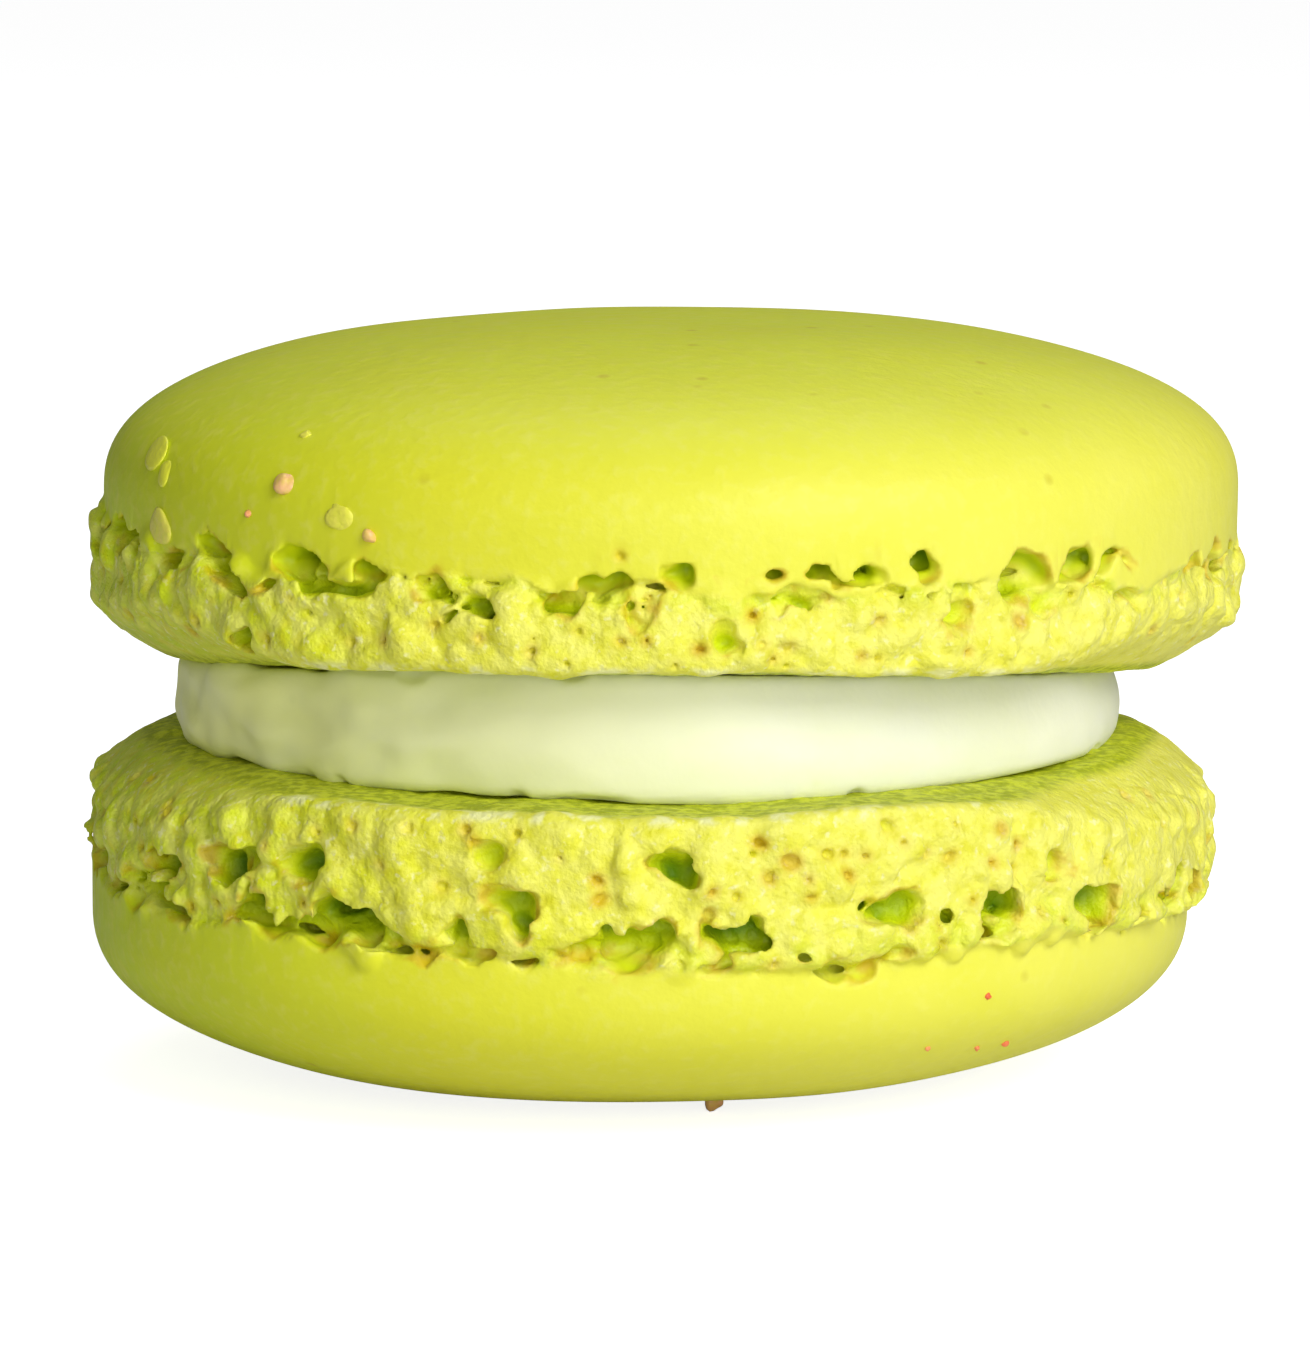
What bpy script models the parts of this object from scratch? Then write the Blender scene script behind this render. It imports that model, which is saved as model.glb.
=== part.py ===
"""A french macaron: two domed almond shells with ruffled feet, and a piped disc of cream between them.

Run with blender --background --python part.py, or from Blender's text editor. Metres, +Z up.
The origin is on the surface that the macaron stands on, under the middle of its outline, and its front is at -Y.

Each shell is one turned body: a dome, a groove under the dome's skirt, the foot that rose in the oven, and the
flat base that was on the baking mat. Both bases face the filling. A hand-made macaron isn't true, so its bases
and grooves lean, the rims droop except at the front and the foot is lumpy, all by the functions below.
"""

import math
from dataclasses import dataclass

import bmesh
import bpy
from mathutils import Vector, noise

MM = 0.001


@dataclass
class Shell:
    """One shell's sizes, in millimetres. A lean is how far a surface has moved up at the front and at the right."""

    name: str
    up: int  # 1 when the dome is on top, -1 when the shell is upside down
    dome_radius: float
    dome_rise: float  # from the dome's widest ring to its top
    dome_fullness: float  # exponent of the dome's superellipse: 2 is an ellipse
    foot_radius: float
    foot_height: float
    base_lean: tuple
    base_back_share: float  # the share of the base's front lean that shows, the other way up, at the back
    groove_lean: tuple
    dome_shift: float  # along X
    foot_shift: float
    seed: float


UPPER = Shell(
    name="shell_upper",
    up=1,
    dome_radius=21.6,
    dome_rise=6.45,
    dome_fullness=2.5,
    foot_radius=21.8,
    foot_height=5.25,
    base_lean=(2.1, -0.2),
    base_back_share=0.15,
    groove_lean=(-0.4, -0.35),
    dome_shift=0.71,
    foot_shift=0.42,
    seed=9.2,
)
LOWER = Shell(
    name="shell_lower",
    up=-1,
    dome_radius=21.05,
    dome_rise=6.6,
    dome_fullness=2.35,
    foot_radius=21.5,
    foot_height=5.25,
    base_lean=(-0.55, -0.1),
    base_back_share=0.5,
    groove_lean=(-0.7, -0.35),
    dome_shift=-0.48,
    foot_shift=-0.08,
    seed=3.7,
)
GROOVE_BACK_SHARE = 0.5

SKIRT_DROP = 1.45  # from a dome's widest ring down to the groove
GROOVE_DEPTH = 0.9
BASE_ROUNDING = 1.5  # how far in from the foot's bulge the base's edge starts
RIM_DROOP = 1.2  # how far the base's rim is turned away from the filling, everywhere but at the front
RIM_START = 18.3
RESTING_SPOT_DEPTH = 0.22  # how much of the lower dome's tip the flat resting spot takes

FILLING_THICKNESS = 2.6  # between the two bases, on the axis
FILLING_RADIUS = 17.6
FILLING_BULGE = 0.5
FILLING_SWELL = 0.35
FILLING_SHIFT = -0.4
GAP = 0.3  # between neighbouring solids, so that they never touch

RUFFLE_HEIGHT = 0.42  # the foot's lumps
RUFFLE_LENGTH = 4.2
SKIRT_WAVE_HEIGHT = 0.35
SKIRT_WAVE_LENGTH = 7.0

AROUND = 96
DOME_SEGMENTS = 10
FOOT_SEGMENTS = 6
BASE_RINGS = 3
FILLING_AROUND = 72
FILLING_SIDE_SEGMENTS = 6


def smoothstep(low, high, value):
    """0 up to low, 1 from high on, with a soft turn at both."""
    t = min(1.0, max(0.0, (value - low) / (high - low)))
    return t * t * (3.0 - 2.0 * t)


def lean_at(lean, back_share, x, y):
    """How far a leaning surface has moved up at (x, y). Its slope changes softly from the front to the back."""
    front, right = lean
    along = -y / LOWER.foot_radius
    softness = 0.2
    bent = 0.5 * (1.0 - back_share) * (math.sqrt(along * along + softness * softness) - softness)
    return front * (0.5 * (1.0 + back_share) * along + bent) + right * x / LOWER.foot_radius


def rim_droop(x, y):
    """How far the base's rim is turned away from the filling at (x, y): the front keeps its sharp lip."""
    out = math.hypot(x, y)
    at_front = smoothstep(0.45, 0.9, -y / max(out, 1.0))
    return RIM_DROOP * smoothstep(RIM_START, LOWER.foot_radius, out) * (1.0 - at_front)


def shell_profile(shell):
    """(radius, height above the base) from the dome's top, out and down over the foot, to the axis again."""
    widest = shell.foot_height + SKIRT_DROP
    points = []
    for i in range(DOME_SEGMENTS + 1):
        angle = 0.5 * math.pi * i / DOME_SEGMENTS
        power = 2.0 / shell.dome_fullness
        radius = shell.dome_radius * math.sin(angle) ** power
        points.append((radius, widest + shell.dome_rise * math.cos(angle) ** power))
    for depth_share, drop_share in ((0.2, 0.55), (0.55, 0.9), (1.0, 1.1)):
        points.append((shell.dome_radius - GROOVE_DEPTH * depth_share, widest - SKIRT_DROP * drop_share))
    for i in range(1, FOOT_SEGMENTS + 1):
        angle = math.pi * (0.2 + 0.8 * i / FOOT_SEGMENTS)
        inward = BASE_ROUNDING if angle > 0.5 * math.pi else GROOVE_DEPTH
        outward = math.sin(angle) ** 0.6 if i < FOOT_SEGMENTS else 0.0
        height = max(0.0, 0.45 + 0.55 * math.cos(angle))
        points.append((shell.foot_radius - inward * (1.0 - outward), shell.foot_height * height))
    edge = shell.foot_radius - BASE_ROUNDING
    points += [(edge * (1.0 - i / BASE_RINGS), 0.0) for i in range(1, BASE_RINGS + 1)]
    return points


def turned(name, profile, steps, material):
    """An object made by turning a profile of (radius, height), in millimetres, that runs down its outer side."""
    mesh = bpy.data.meshes.new(name)
    verts = [(radius * MM, 0.0, height * MM) for radius, height in profile]
    edges = [(i, i + 1) for i in range(len(profile) - 1)]
    mesh.from_pydata(verts, edges, [])
    outline = bpy.data.objects.new(name + "_outline", mesh)
    bpy.context.scene.collection.objects.link(outline)
    screw = outline.modifiers.new("turn", "SCREW")
    screw.steps = steps
    screw.render_steps = steps
    screw.use_merge_vertices = True
    screw.merge_threshold = 1e-6
    bpy.context.view_layer.update()
    evaluated = outline.evaluated_get(bpy.context.evaluated_depsgraph_get())
    body = bpy.data.objects.new(name, bpy.data.meshes.new_from_object(evaluated))
    body.data.name = name
    bpy.data.objects.remove(outline)
    body.data.materials.append(material)
    return body


def ruffle(x, y, z, seed):
    """Lumps of the risen foot, from about -1 to 1."""
    point = Vector((x, y, z)) / RUFFLE_LENGTH + Vector((seed, 0.0, 0.0))
    return 1.6 * noise.noise(point) + 0.8 * noise.noise(point * 2.1)


def skirt_wave(x, y, seed):
    """How the dome's lower edge runs up and down round the shell, from about -1 to 1."""
    return 1.8 * noise.noise(Vector((x, y, 0.0)) / SKIRT_WAVE_LENGTH + Vector((0.0, 0.0, seed)))


def shape_shell(body, shell, base_z):
    """Moves the turned shell's points to their places: leaning base and groove, wavy skirt, lumpy foot."""
    foot = shell.foot_height
    widest = foot + SKIRT_DROP
    for vertex in body.data.vertices:
        x, y = vertex.co.x / MM, vertex.co.y / MM
        height = shell.up * vertex.co.z / MM
        out = math.hypot(x, y)
        near_edge = smoothstep(0.8, 0.93, out / shell.dome_radius)
        base_move = lean_at(shell.base_lean, shell.base_back_share, x, y) + shell.up * rim_droop(x, y)
        groove_move = lean_at(shell.groove_lean, GROOVE_BACK_SHARE, x, y)
        groove_move += SKIRT_WAVE_HEIGHT * skirt_wave(x, y, shell.seed) * near_edge
        if height <= foot:
            moved = base_move + (groove_move - base_move) * height / foot
        else:
            moved = groove_move * (1.0 - smoothstep(foot, widest + 1.0, height))
        in_foot = smoothstep(0.0, 0.35, height / foot) * (1.0 - smoothstep(foot, widest, height))
        push = RUFFLE_HEIGHT * ruffle(x, y, height, shell.seed) * in_foot * near_edge
        scale = 1.0 + push / max(out, 1.0)
        in_dome = smoothstep(0.6 * foot, 1.1 * foot, height)
        shift = shell.foot_shift + (shell.dome_shift - shell.foot_shift) * in_dome
        vertex.co = Vector((x * scale + shift, y * scale, base_z + shell.up * height + moved)) * MM


def make_shell(shell, material, base_z):
    profile = shell_profile(shell)
    if shell.up < 0:
        profile = [(radius, -height) for radius, height in reversed(profile)]
    body = turned(shell.name, profile, AROUND, material)
    shape_shell(body, shell, base_z)
    return body


def make_filling(name, material, low_z, high_z):
    """The piped disc. Its faces follow the two bases, a gap away, and its side bulges between them."""
    profile = [(0.0, 1.0), (0.5 * FILLING_RADIUS, 1.0), (0.93 * FILLING_RADIUS, 1.0)]
    for i in range(FILLING_SIDE_SEGMENTS + 1):
        share = 1.0 - i / FILLING_SIDE_SEGMENTS
        bulge = FILLING_BULGE * math.sin(math.pi * share)
        profile.append((FILLING_RADIUS + bulge, 0.04 + 0.92 * share))
    profile += [(0.93 * FILLING_RADIUS, 0.0), (0.5 * FILLING_RADIUS, 0.0), (0.0, 0.0)]
    body = turned(name, profile, FILLING_AROUND, material)
    for vertex in body.data.vertices:
        x, y = vertex.co.x / MM, vertex.co.y / MM
        share = vertex.co.z / MM
        near_edge = smoothstep(0.8, 1.0, math.hypot(x, y) / FILLING_RADIUS)
        swell = FILLING_SWELL * noise.noise(Vector((x, y, 0.0)) / 6.0) * near_edge
        scale = 1.0 + swell / FILLING_RADIUS
        x, y = x * scale + FILLING_SHIFT, y * scale
        low = low_z + lean_at(LOWER.base_lean, LOWER.base_back_share, x, y) + GAP
        high = high_z + lean_at(UPPER.base_lean, UPPER.base_back_share, x, y) - GAP
        vertex.co = Vector((x, y, low + (high - low) * share)) * MM
    return body


def flatten_below(body, level):
    """Flattens the lower dome's tip to the plane that it rests on."""
    for vertex in body.data.vertices:
        vertex.co.z = max(vertex.co.z, level * MM)


def centre_on_floor(bodies):
    """Moves every body so that the outline's middle is over the origin and its lowest point at z = 0."""
    points = [vertex.co for body in bodies for vertex in body.data.vertices]
    low = Vector([min(point[i] for point in points) for i in range(3)])
    high = Vector([max(point[i] for point in points) for i in range(3)])
    shift = Vector(((low.x + high.x) / 2, (low.y + high.y) / 2, low.z))
    for body in bodies:
        for vertex in body.data.vertices:
            vertex.co -= shift


def finish(body, collection):
    """Turns the faces outwards, shades them smooth and puts the body in the collection."""
    work = bmesh.new()
    work.from_mesh(body.data)
    bmesh.ops.remove_doubles(work, verts=work.verts, dist=1e-6)
    bmesh.ops.recalc_face_normals(work, faces=work.faces)
    work.to_mesh(body.data)
    work.free()
    body.data.shade_smooth()
    collection.objects.link(body)


def make_material(name, colour, roughness):
    material = bpy.data.materials.new(name)
    material.use_nodes = True
    shader = material.node_tree.nodes["Principled BSDF"]
    shader.inputs["Base Color"].default_value = (*colour, 1.0)
    shader.inputs["Roughness"].default_value = roughness
    shader.inputs["Metallic"].default_value = 0.0
    return material


def main():
    for old in list(bpy.data.objects):
        bpy.data.objects.remove(old)
    collection = bpy.data.collections.new("french_macaron")
    bpy.context.scene.collection.children.link(collection)

    crust = make_material("almond_crust", (0.72, 0.72, 0.04), 0.55)
    cream = make_material("piped_cream", (0.88, 0.90, 0.66), 0.45)

    lower_base = LOWER.dome_rise + SKIRT_DROP + LOWER.foot_height - RESTING_SPOT_DEPTH
    upper_base = lower_base + FILLING_THICKNESS

    lower = make_shell(LOWER, crust, lower_base)
    flatten_below(lower, 0.0)
    filling = make_filling("filling", cream, lower_base, upper_base)
    upper = make_shell(UPPER, crust, upper_base)
    bodies = [lower, filling, upper]
    centre_on_floor(bodies)
    for body in bodies:
        finish(body, collection)


main()
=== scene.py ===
"""The looks of the french macaron: porous almond shells, whipped cream and sugar grains, on a pale floor.

Each shell is first a block of distances on a grid: a smooth envelope with the CAD's sizes, then the foot's
lumps joined on and its bubbles cut out. The surface is taken from the block as one closed mesh, and each of
its points keeps a few numbers that the material reads. Lengths are millimetres until a mesh is made.
"""

import math

import bmesh
import bpy
import numpy as np
import openvdb
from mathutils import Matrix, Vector


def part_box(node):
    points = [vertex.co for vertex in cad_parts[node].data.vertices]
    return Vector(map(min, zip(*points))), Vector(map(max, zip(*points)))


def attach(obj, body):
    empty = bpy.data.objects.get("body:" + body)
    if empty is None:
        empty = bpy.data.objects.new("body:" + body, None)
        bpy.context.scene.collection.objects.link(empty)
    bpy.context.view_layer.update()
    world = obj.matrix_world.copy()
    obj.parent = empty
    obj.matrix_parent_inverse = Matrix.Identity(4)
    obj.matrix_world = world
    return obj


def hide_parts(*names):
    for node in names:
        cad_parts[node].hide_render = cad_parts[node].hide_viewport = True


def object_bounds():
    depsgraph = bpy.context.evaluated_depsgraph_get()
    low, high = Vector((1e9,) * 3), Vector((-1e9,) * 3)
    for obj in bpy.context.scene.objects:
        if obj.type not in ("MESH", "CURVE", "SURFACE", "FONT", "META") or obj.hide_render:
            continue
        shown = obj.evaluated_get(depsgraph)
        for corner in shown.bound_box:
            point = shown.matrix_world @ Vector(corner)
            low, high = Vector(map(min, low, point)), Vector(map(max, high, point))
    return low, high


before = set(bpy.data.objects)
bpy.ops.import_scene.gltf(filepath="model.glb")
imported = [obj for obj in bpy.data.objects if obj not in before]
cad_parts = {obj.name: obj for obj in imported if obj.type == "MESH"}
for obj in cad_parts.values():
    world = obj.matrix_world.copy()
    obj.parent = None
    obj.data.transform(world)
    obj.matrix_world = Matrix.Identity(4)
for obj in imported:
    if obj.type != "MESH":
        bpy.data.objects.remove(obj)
cad_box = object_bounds()

MM = 0.001
STEP = 0.125  # of the shells' grid
CREAM_STEP = 0.16
MOST_TRIANGLES = 196000
LUMPS = 520  # on each foot
PINHOLES = 70  # on each foot, besides those that the front shows
FLOOR_GLOW = 0.84


def linear(value):
    """One 0 to 255 sRGB value as linear light."""
    return value / 255 / 12.92 if value < 10.3 else ((value / 255 + 0.055) / 1.055) ** 2.4


def srgb(*values):
    """A Blender colour from 0 to 255 sRGB values."""
    return tuple(linear(value) for value in values) + (1.0,)


# --- Fields on a grid


class Grid:
    """A block of places, with their distances to a surface, negative inside it, and how toasted each is."""

    def __init__(self, low, high, step):
        self.step = step
        self.low = np.array(low, np.float32)
        self.axes = [np.arange(low[i], high[i] + step, step, dtype=np.float32) for i in range(3)]
        self.shape = tuple(len(axis) for axis in self.axes)
        self.distance = None
        self.toast = np.zeros(self.shape, np.float32)

    def coordinates(self):
        """X, Y and Z over the block, each shaped to spread over the other two."""
        return self.axes[0][:, None, None], self.axes[1][None, :, None], self.axes[2][None, None, :]

    def window(self, centre, reach):
        """The slices of the block within reach of a point."""
        slices = []
        for i in range(3):
            first = int((centre[i] - reach - self.low[i]) / self.step)
            last = int((centre[i] + reach - self.low[i]) / self.step) + 2
            slices.append(slice(max(0, first), max(0, min(last, self.shape[i]))))
        return tuple(slices)

    def sample(self, values, points):
        """Values of the block at points, by trilinear interpolation."""
        at = (points - self.low) / self.step
        at = np.clip(at, 0, np.array(self.shape) - 1.001)
        i = at.astype(int)
        f = at - i
        found = 0.0
        for corner in range(8):
            o = [(corner >> k) & 1 for k in range(3)]
            w = np.prod([f[:, k] if o[k] else 1 - f[:, k] for k in range(3)], axis=0)
            found = found + w * values[i[:, 0] + o[0], i[:, 1] + o[1], i[:, 2] + o[2]]
        return found


def lattice_weights(axis, length):
    """Cubic weights that spread lattice values, one every length, over the places along an axis."""
    t = (axis - axis[0]) / length + 1.0
    i = np.floor(t).astype(int)
    f = t - i
    weights = np.zeros((len(axis), int(i.max()) + 3), np.float32)
    rows = np.arange(len(axis))
    weights[rows, i - 1] = (1 - f) ** 3 / 6
    weights[rows, i] = (3 * f**3 - 6 * f**2 + 4) / 6
    weights[rows, i + 1] = (-3 * f**3 + 3 * f**2 + 3 * f + 1) / 6
    weights[rows, i + 2] = f**3 / 6
    return weights


def noise(grid, lengths, seed):
    """Smooth noise over the block, with a spread of about 1 and features this long along X, Y and Z."""
    weights = [lattice_weights(axis, length) for axis, length in zip(grid.axes, lengths)]
    lattice = np.random.default_rng(seed).standard_normal([w.shape[1] for w in weights])
    lattice = lattice.astype(np.float32)
    found = np.tensordot(weights[0], lattice, (1, 0))
    found = np.matmul(weights[1], found)
    return np.matmul(found, weights[2].T) * 3.0


def flat_noise(grid, length, seed):
    """The same over X and Y alone."""
    weights = [lattice_weights(axis, length) for axis in grid.axes[:2]]
    lattice = np.random.default_rng(seed).standard_normal([w.shape[1] for w in weights])
    lattice = lattice.astype(np.float32)
    return (weights[0] @ lattice @ weights[1].T * 2.1)[:, :, None]


def smoothstep(low, high, value):
    """0 at low and before it, 1 at high and past it, with a smooth step between."""
    t = np.clip((value - low) / (high - low), 0.0, 1.0)
    return t * t * (3.0 - 2.0 * t)


def join(a, b, soft):
    """The union of two distances, with a fillet."""
    h = np.maximum(soft - np.abs(a - b), 0.0) / soft
    return np.minimum(a, b) - h * h * soft / 4


def cut(a, b, soft):
    """a without b, with a fillet."""
    return -join(-a, b, soft)


def stamp(grid, block, centre, axes, frame_axes, soft, dig=False, toast=0.0):
    """Joins an ellipsoid to the shape that a block of distances holds, or digs it out."""
    window = grid.window(centre, max(axes) + soft + 3 * grid.step)
    parts = [grid.axes[i][window[i]] - centre[i] for i in range(3)]
    if min(len(part) for part in parts) == 0:
        return
    x, y, z = parts[0][:, None, None], parts[1][None, :, None], parts[2][None, None, :]
    first = second = 0.0
    for axis, direction in zip(axes, frame_axes):
        along = x * direction[0] + y * direction[1] + z * direction[2]
        first = first + (along / axis) ** 2
        second = second + (along / axis**2) ** 2
    first, second = np.sqrt(first), np.sqrt(second)
    ellipsoid = first * (first - 1.0) / np.maximum(second, 1e-6)
    here = block[window]
    block[window] = cut(here, ellipsoid, soft) if dig else join(here, ellipsoid, soft)
    if toast:
        near = toast * (1.0 - smoothstep(0.0, 0.3, ellipsoid))
        grid.toast[window] = np.maximum(grid.toast[window], near)


def lean_at(lean, back_share, x, y):
    """How far a leaning surface has moved up at (x, y). Its slope changes softly from front to back."""
    front, right = lean
    along = -y / LEAN_RADIUS
    softness = 0.2
    bent = 0.5 * (1.0 - back_share) * (np.sqrt(along * along + softness * softness) - softness)
    return front * (0.5 * (1.0 + back_share) * along + bent) + right * x / LEAN_RADIUS


def rounded_slab(r, v, radius, low, high, round_low, round_high):
    """The distance to a disc with rounded edges."""
    middle, half = (low + high) / 2, (high - low) / 2
    rounding = np.where(v < middle, round_low, round_high)
    dr = r - (radius - rounding)
    dv = np.abs(v - middle) - (half - rounding)
    return np.hypot(np.maximum(dr, 0), np.maximum(dv, 0)) + np.minimum(np.maximum(dr, dv), 0) - rounding


# --- Shells

SHELLS = {
    "shell_upper": dict(
        up=1,
        dome=(21.6, 6.45, 2.5),  # radius, rise, fullness
        foot=(21.75, 5.25),  # radius, height
        base_lean=(2.1, -0.2),
        base_back_share=0.15,
        groove_lean=(-0.4, -0.35),
        dome_shift=0.12,
        foot_shift=-0.17,
        torn_height=0.9,
        seed=11,
    ),
    "shell_lower": dict(
        up=-1,
        dome=(21.05, 6.6, 2.35),
        foot=(21.5, 5.25),
        base_lean=(-0.55, -0.1),
        base_back_share=0.5,
        groove_lean=(-0.7, -0.35),
        dome_shift=-0.53,
        foot_shift=-0.13,
        torn_height=2.0,
        seed=23,
    ),
}
LEAN_RADIUS = 21.5  # where a lean's full height is reached
SKIRT_DROP = 1.45  # from a dome's widest ring to the groove
RESTING_SPOT_DEPTH = 0.22
RIM_DROOP = 1.2  # how far the base's rim curls away from the cream, beside and behind
RIM_START, RIM_END = 18.3, 21.5
BASE_ROUNDING = 1.5  # of the base's edge, beside and behind
FRONT_ROUNDING = 0.4
BLOCK_REACH = 23.4  # of a shell's block, sideways from the middle
PAST_BASE, PAST_DOME = 1.5, 0.5  # how far the block goes past each

# Bubbles that the front shows: (degrees round from the front, height over the floor, width, height, depth).
FRONT_CAVERNS = {
    "shell_upper": [
        (-50.5, 21.2, 1.6, 0.9, 1.3), (-37.4, 20.95, 1.7, 1.1, 1.7), (-35.2, 20.6, 0.9, 0.7, 1.2),
        (-29.7, 21.15, 0.7, 0.5, 1.0), (-23.2, 20.65, 1.3, 0.9, 1.6), (-21.0, 20.25, 1.1, 0.7, 1.3),
        (-18.3, 19.85, 1.7, 0.7, 0.8), (-9.7, 20.15, 0.9, 0.6, 1.0), (-5.4, 20.75, 1.5, 0.9, 1.5),
        (-2.0, 20.25, 1.2, 0.7, 1.3), (1.4, 21.25, 0.8, 0.6, 0.9), (4.4, 21.25, 0.8, 0.5, 0.8),
        (9.6, 21.15, 1.0, 0.4, 0.7), (14.9, 21.25, 0.9, 0.5, 0.9), (19.6, 21.2, 1.3, 0.6, 1.1),
        (24.4, 21.15, 0.8, 0.7, 1.0), (37.0, 20.6, 1.8, 1.3, 1.1), (43.5, 20.95, 1.5, 0.8, 0.8),
        (49.2, 21.1, 1.3, 0.6, 0.8), (28.5, 19.4, 1.4, 1.0, 0.5), (39.2, 19.6, 1.2, 0.8, 0.5),
        (-45.2, 18.3, 0.7, 0.5, 0.5), (6.2, 19.05, 0.75, 0.85, 0.6),
    ],
    "shell_lower": [
        (-58.0, 9.4, 1.6, 0.9, 1.2), (-45.5, 10.0, 1.9, 1.6, 1.3), (-43.5, 8.8, 1.3, 1.1, 1.2),
        (-36.0, 10.4, 1.3, 1.0, 0.8), (-31.0, 8.6, 1.7, 0.8, 1.8), (-28.6, 8.3, 1.1, 0.9, 1.6),
        (-25.5, 8.0, 0.6, 0.5, 0.8), (-19.5, 8.3, 1.3, 1.0, 0.9), (-14.5, 9.4, 1.6, 0.9, 0.8),
        (-13.0, 8.8, 0.9, 0.8, 0.8), (-7.6, 7.5, 1.2, 0.5, 0.9), (-1.2, 7.95, 2.3, 1.9, 1.2),
        (-3.0, 8.3, 1.2, 1.1, 0.9), (3.8, 10.8, 1.4, 1.0, 0.7), (7.0, 8.3, 1.9, 0.8, 1.1),
        (10.5, 8.15, 1.2, 0.7, 1.0), (22.5, 9.1, 1.7, 0.8, 0.9), (26.0, 8.9, 1.1, 0.9, 0.9),
        (30.0, 8.4, 1.0, 0.9, 0.8), (37.8, 8.5, 1.9, 1.2, 1.1), (50.8, 8.4, 2.3, 1.1, 1.0),
        (44.0, 9.8, 1.6, 1.0, 0.5), (-15.5, 11.2, 0.9, 0.8, 0.5),
    ],
}
# Pinholes that the front shows: (degrees round, height over the floor, width).
FRONT_PINHOLES = {
    "shell_upper": [
        (8.5, 19.73, 0.32), (9.3, 18.73, 0.26), (-12.4, 18.46, 0.3), (3.4, 18.58, 0.24),
        (10.4, 18.2, 0.22), (-17.5, 18.9, 0.25), (-22.0, 19.3, 0.28), (-4.1, 21.9, 0.24),
        (-27.2, 18.66, 0.26), (14.7, 19.9, 0.2), (20.7, 19.5, 0.22), (11.8, 18.6, 0.3),
        (-8.0, 19.2, 0.2), (-1.6, 18.9, 0.22), (-31.0, 18.5, 0.26),
    ],
    "shell_lower": [
        (-17.8, 12.0, 0.34), (-16.9, 11.6, 0.3), (-12.8, 11.9, 0.34), (-5.0, 10.3, 0.34), (-23.5, 12.0, 0.3),
        (-29.5, 11.9, 0.28), (10.6, 11.6, 0.3), (13.6, 10.9, 0.42), (17.3, 11.1, 0.34), (11.5, 10.3, 0.28),
        (15.3, 10.25, 0.22), (19.0, 11.1, 0.26), (21.1, 11.0, 0.3), (23.6, 12.0, 0.45), (27.8, 10.9, 0.26),
        (9.9, 11.2, 0.22), (36.1, 11.6, 0.3), (38.6, 10.9, 0.26), (38.0, 10.0, 0.32), (8.3, 9.7, 0.3),
        (-8.6, 11.1, 0.18), (5.9, 9.9, 0.26), (15.6, 9.6, 0.2), (31.0, 11.9, 0.26), (-20.4, 9.9, 0.3),
        (-26.5, 10.6, 0.24), (-12.0, 7.2, 0.2), (3.0, 7.3, 0.24), (12.0, 7.2, 0.2), (29.5, 7.6, 0.3),
    ],
}


def polar_frame(degrees, tilt=0.0):
    """Unit vectors round, outwards and up at an angle from the front. Tilt turns the first and last."""
    angle = math.radians(degrees)
    out = np.array([math.sin(angle), -math.cos(angle), 0.0])
    round_ = np.array([math.cos(angle), math.sin(angle), 0.0])
    up = np.array([0.0, 0.0, 1.0])
    c, s = math.cos(tilt), math.sin(tilt)
    return round_ * c + up * s, out, up * c - round_ * s


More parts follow.
